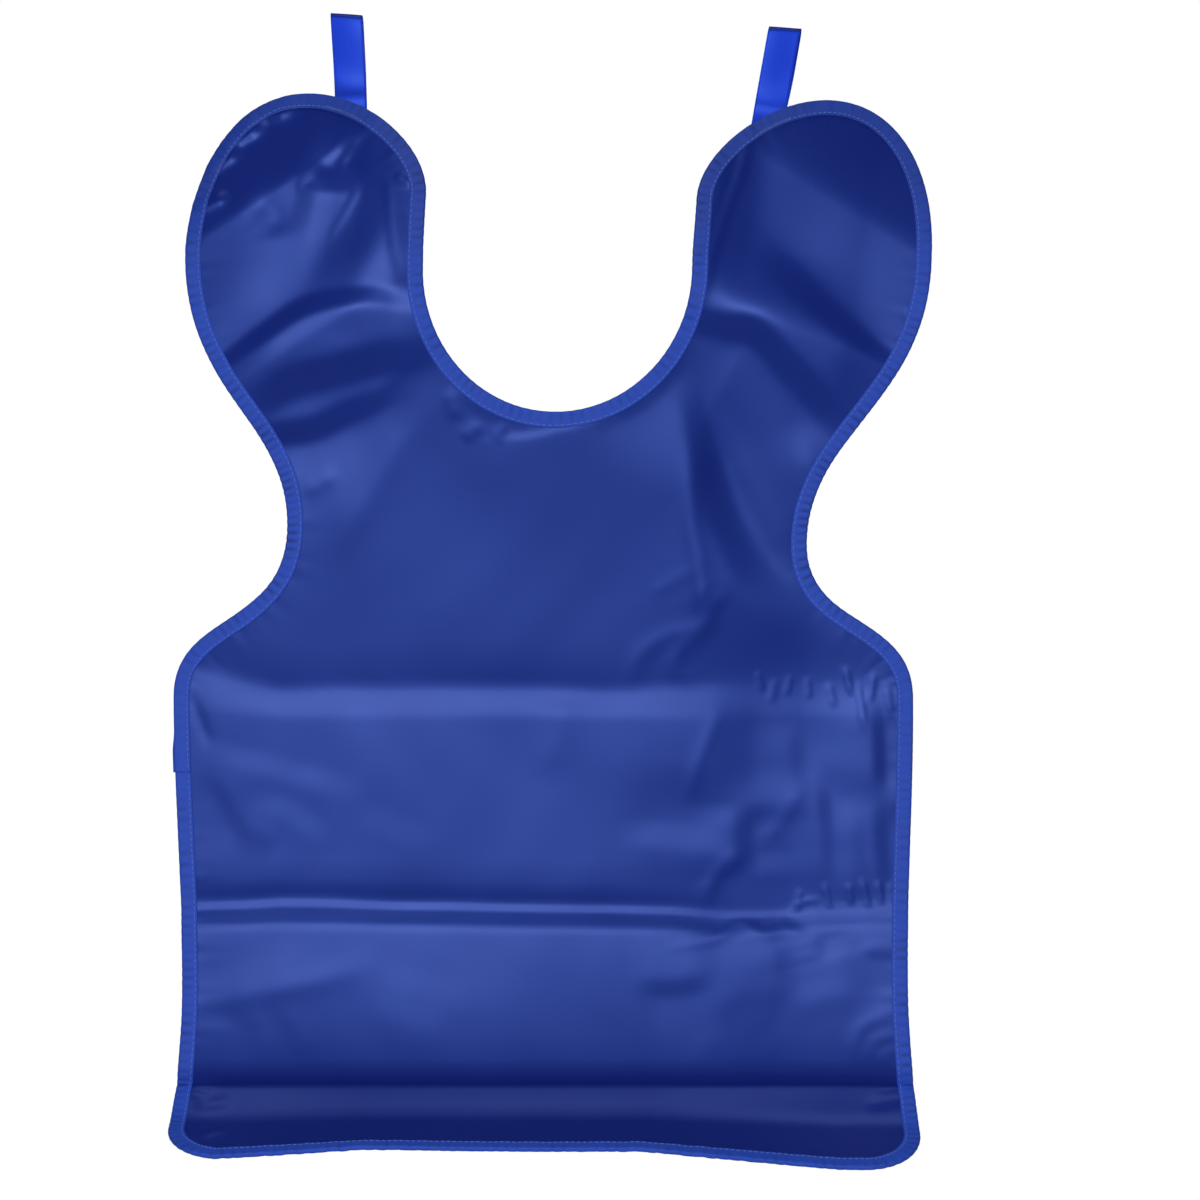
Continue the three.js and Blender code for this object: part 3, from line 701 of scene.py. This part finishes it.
def sheet_layer(spacing, offset, zones=()):
    """One face of the sheet, as triangles: its edge, the last crease and staggered rows of points."""
    fill = staggered_points(spacing, EDGE.min(0), EDGE.max(0))
    for zone in zones:
        low, high = on_sheet([(zone["left"], zone["top"]), (zone["right"], zone["bottom"])])
        outside = np.any((fill < low - KEEN_STEP) | (fill > high + KEEN_STEP), axis=1)
        fill = np.concatenate([fill[outside], staggered_points(KEEN_STEP, low, high)])
    clear = np.abs(fill[:, 1] - FLAP_DROP) > CREASE_CLEARANCE * CREASE_STEP
    fill = fill[inside_ring(fill, EDGE) & clear]
    away, _ = nearest_on_ring(fill, EDGE)
    crease = np.arange(1 - HEM_REACH, HEM_REACH, CREASE_STEP)
    crease = np.stack([crease, np.full(len(crease), FLAP_DROP)], -1)
    crease = crease[inside_ring(crease, EDGE)]
    points = np.concatenate([EDGE, crease, fill[away > EDGE_CLEARANCE * EDGE_STEP]])
    lines = [(i, (i + 1) % len(EDGE)) for i in range(len(EDGE))]
    lines += [(len(EDGE) + i, len(EDGE) + i + 1) for i in range(len(crease) - 1)]
    flat, _, triangles, _, _, _ = delaunay_2d_cdt([Vector(p) for p in points], lines, [], 1, MERGE_DISTANCE)
    points = np.array([tuple(v) for v in flat])
    corners = np.array(triangles)
    a, b, c = (points[corners[:, k]] for k in range(3))
    turned = (b[:, 0] - a[:, 0]) * (c[:, 1] - a[:, 1]) > (b[:, 1] - a[:, 1]) * (c[:, 0] - a[:, 0])
    corners[turned] = corners[turned][:, ::-1]
    middle = on_body(points)
    a, b, c = (middle[corners[:, k]] for k in range(3))
    normal = np.zeros_like(middle)
    for k in range(3):
        np.add.at(normal, corners[:, k], np.cross(b - a, c - a))
    return points, middle + unit(normal) * offset, corners


def make_panel(material):
    """The sheet: a fine front, a coarser back, and the cut edge that joins them."""
    front_flat, front, front_faces = sheet_layer(FRONT_STEP, PANEL_THICKNESS / 2, KEEN_ZONES)
    back_flat, back, back_faces = sheet_layer(BACK_STEP, -PANEL_THICKNESS / 2)
    faces = front_faces.tolist() + (back_faces[:, ::-1] + len(front)).tolist()
    for i in range(len(EDGE)):
        j = (i + 1) % len(EDGE)
        faces.append((j, i, i + len(front), j + len(front)))
    points, flat = np.concatenate([front, back]), np.concatenate([front_flat, back_flat])
    panel = new_object("apron_sheet", points, faces, material, flat)
    panel.data.set_sharp_from_angle(angle=math.radians(SHARP_ANGLE))
    return panel


def strip_faces(stations, corners):
    """Quads of a closed section carried through the stations, with its two ends closed."""
    faces = []
    for i in range(stations - 1):
        for k in range(corners):
            m = (k + 1) % corners
            faces.append((i * corners + k, i * corners + m, (i + 1) * corners + m, (i + 1) * corners + k))
    last = (stations - 1) * corners
    return [*faces, tuple(range(corners))[::-1], tuple(range(last, last + corners))]


def new_strip(name, section, material, flat):
    return new_object(name, section.reshape(-1, 3), strip_faces(*section.shape[:2]), material, flat)


# The folded tape: the distances from the cut edge at which each leg is drawn, those that its inner face has,
# the angles round the fold, and the fold's length and spacing in the flat tape.
LEG_INSETS = (9.3, 8.5, STITCH_INSET, 6, 4, 1.9, 0.3)
INNER_LEGS = [0, 3, 6]
FOLD_ANGLES = (60, 30, 0, -30, -60)
FOLD_LENGTH = 3
FOLD_SPACING = 0.5
TAPE_OFFSET = PANEL_THICKNESS / 2 + TAPE_GAP + TAPE_THICKNESS

# The tape's puckers: how their spacing drifts and their grooves swell, the insets where they start and are
# full, and how much the tape puffs between them, on its legs and at its fold.
PUCKER_DRIFTS = table(
    "length start share",
    (17, 0, 0.9),
    (43, 1, 1.1),
)
GROOVE_SWELL = dict(mean=0.7, swing=0.3, length=5.3)
PUCKER_START = STITCH_INSET + 0.5
PUCKER_FULL = 3.5
PUFF_SHARE = 0.25
FOLD_PUFF = 0.35

# The tape's wavy inner edge, and the lap of its ends: its gap, the laps after which it has settled and the
# puckers return, and how much further the fold stands out.
FLARE = dict(height=0.12, length=2.9, drift=2, drift_length=31, start=6.8, end=9)
LAP_GAP = 0.2
LAP_SETTLE = 2.2
LAP_RETURN = 2
FOLD_LAP = 1.5


def tape_grid():
    """The tape's stations: places, front, fold and back points, normals, and depths of the grooves."""
    ring, pucker = edge_points(TAPE_STEP)
    start = np.argmin(np.linalg.norm(ring - on_sheet([TAPE_JOIN]), axis=1))
    order = (start + np.arange(len(ring) + round(TAPE_LAP / TAPE_STEP))) % len(ring)
    inward = ring_inward(ring)[order]
    ring, pucker = ring[order], pucker[order]
    place = lengths_along(ring)
    middle = np.stack([on_body(ring + inward * inset) for inset in LEG_INSETS], 1)
    along = np.gradient(middle, axis=0)
    across = np.gradient(middle, axis=1)
    normal = unit(np.cross(across, along))

    legs = np.array(LEG_INSETS)
    turns = np.cumsum(np.gradient(place) / (PUCKER_PITCH - PUCKER_CROWDING * pucker))
    phase = waves(PUCKER_DRIFTS, place, np.pi * turns)
    groove = np.exp(-((np.sin(phase) / GROOVE_SHARE) ** 2))
    ends = smooth_step(np.minimum(place, place[-1] - place), TAPE_LAP, LAP_RETURN * TAPE_LAP)
    reach = smooth_step(legs, PUCKER_START, PUCKER_FULL)
    groove = (pucker * groove * ends * swell(place, **GROOVE_SWELL))[:, None] * reach
    puff = PUFF_SHARE * (pucker * ends)[:, None] * reach - groove
    drift = FLARE["drift"] * np.sin(place / FLARE["drift_length"])
    flare = FLARE["height"] * np.sin(place / FLARE["length"] + drift)[:, None]
    flare = flare * smooth_step(legs, FLARE["start"], FLARE["end"])
    over = (TAPE_THICKNESS + LAP_GAP) * (1 - smooth_step(place, TAPE_LAP, LAP_SETTLE * TAPE_LAP))[:, None]
    raised = TAPE_OFFSET + puff + flare + over
    front, back = middle + normal * raised[..., None], middle - normal * raised[..., None]
    outward = unit(middle[:, -1] - middle[:, -2])
    reach_out = TAPE_GAP + TAPE_THICKNESS + LEG_INSETS[-1] + FOLD_PUFF * puff[:, -1] + FOLD_LAP * over[:, 0]
    bent = []
    for angle in np.radians(FOLD_ANGLES):
        out, up = reach_out * math.cos(angle), raised[:, -1] * math.sin(angle)
        bent.append(middle[:, -1] + outward * out[:, None] + normal[:, -1] * up[:, None])
    return place, front, np.stack(bent, 1), back, normal, groove


def make_binding(grid, material):
    """One tape folded over the edge all the way round, with its end lapped over its start."""
    place, front, bent, back, normal, groove = grid
    inside = normal * TAPE_THICKNESS
    crown = FOLD_ANGLES.index(0)
    outward = unit(bent[:, crown] - front[:, -1] / 2 - back[:, -1] / 2)
    bottom = bent[:, crown:crown + 1] - outward[:, None] * TAPE_THICKNESS
    section = np.concatenate([front, bent, back[:, ::-1], (back + inside)[:, INNER_LEGS], bottom,
                              (front - inside)[:, INNER_LEGS[::-1]]], 1)
    legs = np.array(LEG_INSETS)
    far = -FOLD_LENGTH - legs
    round_fold = -FOLD_SPACING * np.arange(1, len(FOLD_ANGLES) + 1)
    round_place = np.concatenate([legs, round_fold, far[::-1], far[INNER_LEGS], [-FOLD_LENGTH / 2],
                                  legs[INNER_LEGS[::-1]]])
    binding = new_strip("tape_binding", section, material, flat_grid(place, round_place))
    depth = np.zeros(section.shape[:2])
    outer = len(LEG_INSETS) + len(FOLD_ANGLES)
    depth[:, :len(LEG_INSETS)] = groove
    depth[:, len(LEG_INSETS):outer] = groove[:, -1:]
    depth[:, outer:outer + len(LEG_INSETS)] = groove[:, ::-1]
    # The grooves' depths, kept on the points for the tape's painted shade.
    binding.data.attributes.new("groove", "FLOAT", "POINT").data.foreach_set("value", depth.ravel())
    return binding


def at_places(places, values, wanted):
    return np.stack([np.interp(wanted, places, values[:, k]) for k in range(3)], -1)


# Points of a stitch: shares of its length, and heights over the tape in thread radii. Then the bar tack's
# zigzag, with its lift in thread radii.
STITCH_SHARES = np.array([-0.5, -0.36, 0, 0.36, 0.5])
STITCH_HEIGHTS = np.array([-1.6, 0.1, 0.5, 0.1, -1.6])
THREAD_SIDES = 6
TACK_PITCH = 0.55
TACK_SWING = 0.9
TACK_LIFT = 0.6


def tube_mesh(runs, ups):
    """Round threads along many runs of points, each closed at both ends."""
    count, steps, _ = runs.shape
    tangent = unit(np.gradient(runs, axis=1))
    aside = unit(np.cross(tangent, ups))
    up = np.cross(aside, tangent)
    angles = 2 * np.pi * np.arange(THREAD_SIDES) / THREAD_SIDES
    rings = [runs + THREAD_RADIUS * (np.cos(a) * aside + np.sin(a) * up) for a in angles]
    points = np.stack(rings, 2).reshape(-1, 3)
    one = strip_faces(steps, THREAD_SIDES)
    faces = [tuple(k + i * steps * THREAD_SIDES for k in face) for i in range(count) for face in one]
    return points, faces


def make_stitches(grid, material):
    """The row that holds the tape, front and back: short threads that dip into the tape at both ends."""
    place, front, _, back, normal, _ = grid
    row = LEG_INSETS.index(STITCH_INSET)
    middles = np.arange(STITCH_PITCH, place[-1] - TAPE_LAP, STITCH_PITCH)
    heights = THREAD_RADIUS * STITCH_HEIGHTS
    wanted = middles[:, None] + STITCH_LENGTH * STITCH_SHARES
    meshes = []
    for face, side in ((front, 1), (back, -1)):
        up = side * unit(at_places(place, normal[:, row], wanted))
        meshes.append((at_places(place, face[:, row], wanted) + up * heights[None, :, None], up))
    runs, ups = (np.concatenate(parts) for parts in zip(*meshes))
    return new_object("edge_stitches", *tube_mesh(runs, ups), material)


def make_tack(loop, grid, material):
    """A close zigzag of thread through the tape and the ribbon's tails, front and back."""
    place, front, _, back, normal, _ = grid
    row = LEG_INSETS.index(STITCH_INSET)
    pixels = to_pixels(front[:, row])
    start, end = sorted(place[np.argmin(np.linalg.norm(pixels - spot, axis=1))] for spot in loop["tack"])
    wanted = np.arange(start, end, TACK_PITCH)
    swing = np.where(np.arange(len(wanted)) % 2, TACK_SWING, -TACK_SWING)[:, None]
    meshes = []
    for face, side in ((front, 1), (back, -1)):
        middle = at_places(place, face[:, row], wanted)
        outward = unit(at_places(place, face[:, row + 1] - face[:, row - 1], wanted))
        up = side * unit(at_places(place, normal[:, row], wanted))
        lift = TACK_LIFT * THREAD_RADIUS + (side < 0) * 2 * RIBBON_THICKNESS
        meshes.append((middle + outward * swing + up * lift, up))
    runs, ups = (np.stack(parts) for parts in zip(*meshes))
    return new_object(f"{loop['name']}_tack", *tube_mesh(runs, ups), material)


# The ribbon: where its seat behind the tape is measured, the depths of its tails in thicknesses, and its
# points round the bight, up each leg and across.
SEAT_ASIDES = (-1, -0.5, 0, 0.5, 1)
SEAT_SHARES = (0, 0.5, 1)
TAIL_DEPTHS = np.array([0.7, 1.9])
BIGHT_POINTS = 15
LEG_POINTS = 24
RIBBON_POINTS = 13

# Shares of the ribbon's length over which its twist and shear come in from each end, and its rear run moves
# aside and back. The rear run has a share of the front's twist.
TWIST_IN = (0.1, 0.3)
SHEAR_IN = (0.15, 0.45)
REAR_OUT = (0.45, 0.55)
REAR_BACK = (0, 0.3)
REAR_TWIST = 0.4


def loop_route(loop):
    """The ribbon's middle line in the plane square to its width: back and height from where it leaves."""
    near = EDGE[(EDGE[:, 0] * loop["across"] > 0) & (EDGE[:, 1] < HALF_OUTLINE[2]["drop"])]
    rim_drop = near[np.argmin(np.abs(near[:, 0] - loop["across"]))][1]
    rim, low = on_body(np.array([[loop["across"], rim_drop], [loop["across"], rim_drop + LOOP_TAIL]]))
    tail = unit((low - rim)[1:])
    behind = np.array([-tail[1], tail[0]])
    under = np.array([(loop["across"] + aside * RIBBON_WIDTH / 2, rim_drop + share * LOOP_TAIL)
                      for aside in SEAT_ASIDES for share in SEAT_SHARES])
    seats = on_body(under) - facing(under) * TAPE_OFFSET - rim
    seat = (seats[:, 1:] @ behind).max()
    layers = seat + RIBBON_THICKNESS * TAIL_DEPTHS
    radius = LOOP_INNER_RADIUS + RIBBON_THICKNESS / 2
    lean = math.radians(loop["lean"])
    rise = (loop["top"] - rim[2]) / math.cos(lean) - radius - RIBBON_THICKNESS / 2
    collar = behind * layers.mean() - tail * LOOP_COLLAR
    angles = np.radians(np.linspace(180, 0, BIGHT_POINTS))
    bight = np.stack([collar[0] + radius * np.cos(angles), rise + radius * np.sin(angles)], -1)
    ends = [[behind * layer + tail * LOOP_TAIL, behind * layer - tail * LOOP_COLLAR] for layer in layers]
    share = np.linspace(0, 1, LEG_POINTS)[1:-1, None]
    ease = smooth_step(share, 0, 1)
    leaving, arriving = share * (1 - share) ** 2, share ** 2 * (1 - share)
    legs = []
    for (_, start), top in zip(ends, (bight[0], bight[-1])):
        reach = np.linalg.norm(top - start)
        eased = start + (top - start) * ease - tail * reach * leaving
        legs.append(eased - np.array([0, reach]) * arriving)
    route = [ends[0], legs[0], bight, legs[1][::-1], ends[1][::-1]]
    return rim, lean, np.concatenate([np.array(part) for part in route])


def make_loop(loop, material):
    """A ribbon doubled over its hanging point, slightly twisted, with both tails flat behind the tape."""
    rim, lean, route = loop_route(loop)
    lengths = lengths_along(route)
    share = lengths / lengths[-1]
    from_end = np.minimum(share, 1 - share)
    twist = smooth_step(from_end, *TWIST_IN) * np.where(share < 0.5, 1, REAR_TWIST)
    drawn = smooth_step(from_end, *SHEAR_IN)
    aside = np.linspace(-1, 1, RIBBON_POINTS) * RIBBON_WIDTH / 2
    slopes = np.interp(aside, (-RIBBON_WIDTH / 2, 0, RIBBON_WIDTH / 2), loop["slopes"])
    slopes = np.tan(np.radians(slopes))
    back = -summed((slopes[1:] + slopes[:-1]) / 2 * np.diff(aside))
    back -= back.mean()
    tangent = unit(np.gradient(route, axis=0))
    square = np.stack([-tangent[:, 1], tangent[:, 0]], -1)
    rear = loop["rear"] * smooth_step(share, *REAR_OUT) * smooth_step(1 - share, *REAR_BACK)
    sides = []
    for side in (0.5, -0.5):
        plane = route + square * RIBBON_THICKNESS * side
        x = np.broadcast_to(aside, (len(route), len(aside))) + rear[:, None]
        y = plane[:, :1] + back * twist[:, None]
        z = plane[:, 1:] + aside * loop["shear"] * drawn[:, None]
        leaned = x * math.cos(lean) + z * math.sin(lean), y, z * math.cos(lean) - x * math.sin(lean)
        sides.append(np.stack(leaned, -1))
    section = np.concatenate([sides[0], sides[1][:, ::-1]], 1) + rim
    flat = flat_grid(lengths, np.concatenate([aside, aside[::-1]]))
    return new_strip(f"{loop['name']}_ribbon", section, material, flat)


# Linear colours. The tape has painted shade in its grooves and at the wings' tops, and the ribbon has painted
# shade at the bend of its bight.
VINYL_DARK, VINYL_PALE = (0.005, 0.014, 0.145, 1), (0.007, 0.018, 0.175, 1)
TAPE_DARK, TAPE_PALE = (0.0075, 0.046, 0.37, 1), (0.013, 0.066, 0.50, 1)
# The tape's painted shade colour, for its grooves and the wings' tops.
TAPE_PAINTED_SHADE = (0.004, 0.016, 0.14, 1)
RIBBON_DARK, RIBBON_PALE = (0.008, 0.040, 0.58, 1), (0.016, 0.060, 0.74, 1)
# The ribbon's painted shade colour, at its bight.
RIBBON_PAINTED_SHADE = (0.003, 0.010, 0.13, 1)
THREAD_DARK, THREAD_PALE = (0.055, 0.105, 0.41, 1), (0.11, 0.18, 0.55, 1)
SHEEN_TINT = (0.3, 0.5, 1, 1)

# Pitch of the tape's ribs and threads in millimetres, and the heights in metres between which it darkens with
# painted shade towards the wings' tops.
WEAVE_PITCHES = dict(X=0.55, Y=0.8)
TAPE_SHADE_FROM, TAPE_SHADE_TO = -0.17, -0.1

# Sockets of a mix node that blends colours.
MIX_FIRST, MIX_SECOND, MIX_RESULT = 6, 7, 2


def new_material(name, color, roughness, specular, **more):
    """A material and its shader. Words joined by underscores name more of the shader's inputs."""
    material = bpy.data.materials.new(name)
    material.use_nodes = True
    shader = material.node_tree.nodes["Principled BSDF"]
    shader.inputs["Base Color"].default_value = (*color, 1)
    shader.inputs["Roughness"].default_value = roughness
    shader.inputs["Specular IOR Level"].default_value = specular
    for words, value in more.items():
        shader.inputs[words.replace("_", " ").title()].default_value = value
    return material, shader


def add_node(material, kind, inputs=(), **settings):
    node = material.node_tree.nodes.new(kind)
    for name, value in settings.items():
        setattr(node, name, value)
    for name, value in dict(inputs).items():
        if isinstance(value, bpy.types.NodeSocket):
            material.node_tree.links.new(value, node.inputs[name])
        else:
            node.inputs[name].default_value = value
    return node


def add_math(material, operation, *values, **settings):
    inputs = dict(enumerate(values))
    return add_node(material, "ShaderNodeMath", inputs, operation=operation, **settings).outputs[0]


def noise(material, place, scale, detail=2, roughness=0.5):
    inputs = {"Vector": place, "Scale": scale, "Detail": detail, "Roughness": roughness}
    return add_node(material, "ShaderNodeTexNoise", inputs).outputs["Fac"]


def spread(material, value, low, high, start=0, end=1):
    """The value mapped from start and end to low and high."""
    inputs = {"Value": value, "From Min": start, "From Max": end, "To Min": low, "To Max": high}
    return add_node(material, "ShaderNodeMapRange", inputs).outputs["Result"]


def blend_colors(material, share, first, second):
    inputs = {"Factor": share, MIX_FIRST: first, MIX_SECOND: second}
    return add_node(material, "ShaderNodeMix", inputs, data_type="RGBA").outputs[MIX_RESULT]


def bump(material, height, strength, distance):
    inputs = {"Height": height, "Strength": strength, "Distance": distance}
    return add_node(material, "ShaderNodeBump", inputs).outputs["Normal"]


def object_place(material):
    return add_node(material, "ShaderNodeTexCoord").outputs["Object"]


def flat_place(material):
    return add_node(material, "ShaderNodeUVMap", uv_map="flat").outputs["UV"]


def part_of(material, vector, axis):
    return add_node(material, "ShaderNodeSeparateXYZ", {"Vector": vector}).outputs[axis]


def wire(material, shader, color, normal, roughness=None):
    links = {"Base Color": color, "Normal": normal, "Roughness": roughness}
    for name, output in links.items():
        if output is not None:
            material.node_tree.links.new(output, shader.inputs[name])


def vinyl_material():
    """Satin vinyl film over a heavy core: a fine grain, and broad patches that are a little more worn."""
    material, shader = new_material("vinyl", (0.006, 0.016, 0.16), 0.4, 0.6, specular_tint=(0.12, 0.26, 1, 1),
                                    coat_weight=0.05, coat_roughness=0.28)
    place = object_place(material)
    patches = noise(material, place, scale=14, detail=4, roughness=0.6)
    grain = noise(material, place, scale=1400)
    wire(material, shader, color=blend_colors(material, patches, VINYL_DARK, VINYL_PALE),
         roughness=spread(material, patches, 0.36, 0.44),
         normal=bump(material, grain, strength=0.10, distance=0.0004))
    return material


def tape_material():
    """Woven tape: fine ribs across it, crossed by threads along it, with painted shade in its grooves and
    towards the wings' tops.
    """
    material, shader = new_material("tape", (0.02, 0.07, 0.5), 0.62, 0.3, sheen_weight=0.08,
                                    sheen_tint=SHEEN_TINT)
    flat = flat_place(material)
    threads = []
    for axis, pitch in WEAVE_PITCHES.items():
        turned = add_math(material, "MULTIPLY", part_of(material, flat, axis), 2 * math.pi / pitch)
        threads.append(add_math(material, "SINE", turned))
    weave = add_math(material, "MULTIPLY", *threads)
    place = object_place(material)
    patches = noise(material, place, scale=60, detail=3, roughness=0.6)
    # Painted shade: the tape darkens in the grooves between its puckers.
    groove_shade = add_node(material, "ShaderNodeAttribute", attribute_name="groove").outputs["Fac"]
    # Painted shade: the tape darkens higher up, towards the wings' tops.
    wing_top_shade = spread(material, part_of(material, place, "Z"), 0, 0.45, TAPE_SHADE_FROM, TAPE_SHADE_TO)
    # The two painted shades add up, and the tape blends to its painted shade colour by that share.
    share = add_math(material, "ADD", groove_shade, wing_top_shade, use_clamp=True)
    level = blend_colors(material, patches, TAPE_DARK, TAPE_PALE)
    wire(material, shader, color=blend_colors(material, share, level, TAPE_PAINTED_SHADE),
         roughness=spread(material, patches, 0.55, 0.7),
         normal=bump(material, weave, strength=0.35, distance=0.0001))
    return material


def ribbon_material():
    """Satin ribbon: a smooth sheen broken by fine threads along its length, and painted shade where its top
    bends over to face up.
    """
    material, shader = new_material("ribbon", (0.02, 0.06, 0.62), 0.4, 0.35, specular_tint=(0.2, 0.4, 1, 1),
                                    sheen_weight=0.1, sheen_tint=SHEEN_TINT)
    inputs = {"Vector": flat_place(material), "Scale": (0.03, 3, 1)}
    threads = noise(material, add_node(material, "ShaderNodeMapping", inputs).outputs["Vector"], scale=1)
    facing_way = add_node(material, "ShaderNodeNewGeometry").outputs["Normal"]
    # Painted shade: the ribbon darkens where its surface faces up, at the bend of its bight.
    bent = spread(material, part_of(material, facing_way, "Z"), 0, 0.85, 0.05, 0.4)
    satin = blend_colors(material, threads, RIBBON_DARK, RIBBON_PALE)
    wire(material, shader, color=blend_colors(material, bent, satin, RIBBON_PAINTED_SHADE),
         roughness=spread(material, threads, 0.34, 0.48),
         normal=bump(material, threads, strength=0.2, distance=0.0002))
    return material


def thread_material():
    """Sewing thread, a little paler than the tape."""
    material, shader = new_material("thread", (0.10, 0.17, 0.56), 0.55, 0.4)
    strands = noise(material, object_place(material), scale=2600, detail=1)
    wire(material, shader, color=blend_colors(material, strands, THREAD_DARK, THREAD_PALE),
         normal=bump(material, strands, strength=0.3, distance=0.0002))
    return material


# The studio, in metres and watts: lamps that face the middle of the apron, and a round floor below it.
LIGHTS = table(
    "name place size power",
    ("key", (-0.25, -2.5, 0.08), (0.9, 0.6), 50),
    ("overhead", (0, -0.35, 1.9), (1.6, 0.9), 16),
    ("fill_left", (-2.6, -0.8, -0.2), (1.6, 1.6), 4),
    ("fill_right", (2.6, -0.8, -0.2), (1.6, 1.6), 4),
    ("rear", (0, 2.6, 0.1), (1.6, 1.2), 30),
)
FLOOR_HEIGHT = -0.95
FLOOR_RADIUS = 1.2
FLOOR_CORNERS = 96


def area_light(name, place, size, power):
    data = bpy.data.lights.new(name, "AREA")
    data.shape = "RECTANGLE"
    data.size, data.size_y = size
    data.energy = power
    light = bpy.data.objects.new(name, data)
    light.location = place
    middle = Vector((0, 0, CAMERA_Z * MM))
    light.rotation_euler = (middle - Vector(place)).to_track_quat("-Z", "Y").to_euler()
    light.visible_camera = False
    bpy.context.scene.collection.objects.link(light)


def make_studio():
    for light in LIGHTS:
        area_light(**light)
    world = bpy.data.worlds.new("white")
    world.use_nodes = True
    background = world.node_tree.nodes["Background"].inputs
    background["Color"].default_value = (1, 1, 1, 1)
    background["Strength"].default_value = 1
    bpy.context.scene.world = world
    world.cycles_visibility.diffuse = False
    world.cycles_visibility.glossy = False
    bpy.context.scene.view_settings.view_transform = "Standard"

    bpy.ops.mesh.primitive_circle_add(vertices=FLOOR_CORNERS, radius=FLOOR_RADIUS, fill_type="NGON",
                                      location=(0, 0, FLOOR_HEIGHT))
    floor = bpy.context.object
    floor.name = "floor"
    floor.data.materials.append(new_material("floor", (0.85, 0.85, 0.86), 0.8, 0.5)[0])


def make_camera():
    data = bpy.data.cameras.new("camera")
    data.sensor_width = SENSOR_WIDTH
    data.lens = data.sensor_width * CAMERA_DISTANCE / (PHOTO_SIZE * MM_PER_PIXEL)
    camera = bpy.data.objects.new("camera", data)
    camera.location = (CAMERA_X * MM, (PHOTO_PLANE - CAMERA_DISTANCE) * MM, CAMERA_Z * MM)
    camera.rotation_euler = (math.pi / 2, 0, 0)
    bpy.context.scene.collection.objects.link(camera)
    bpy.context.scene.camera = camera


make_camera()
make_studio()
tape, ribbon, thread = tape_material(), ribbon_material(), thread_material()
panel = make_panel(vinyl_material())
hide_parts("apron_panel")
tape_points = tape_grid()
binding = make_binding(tape_points, tape)
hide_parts("edge_binding")
stitches = make_stitches(tape_points, thread)
for loop in LOOPS:
    strap = make_loop(loop, ribbon)
    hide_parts(loop["name"])
    tack = make_tack(loop, tape_points, thread)
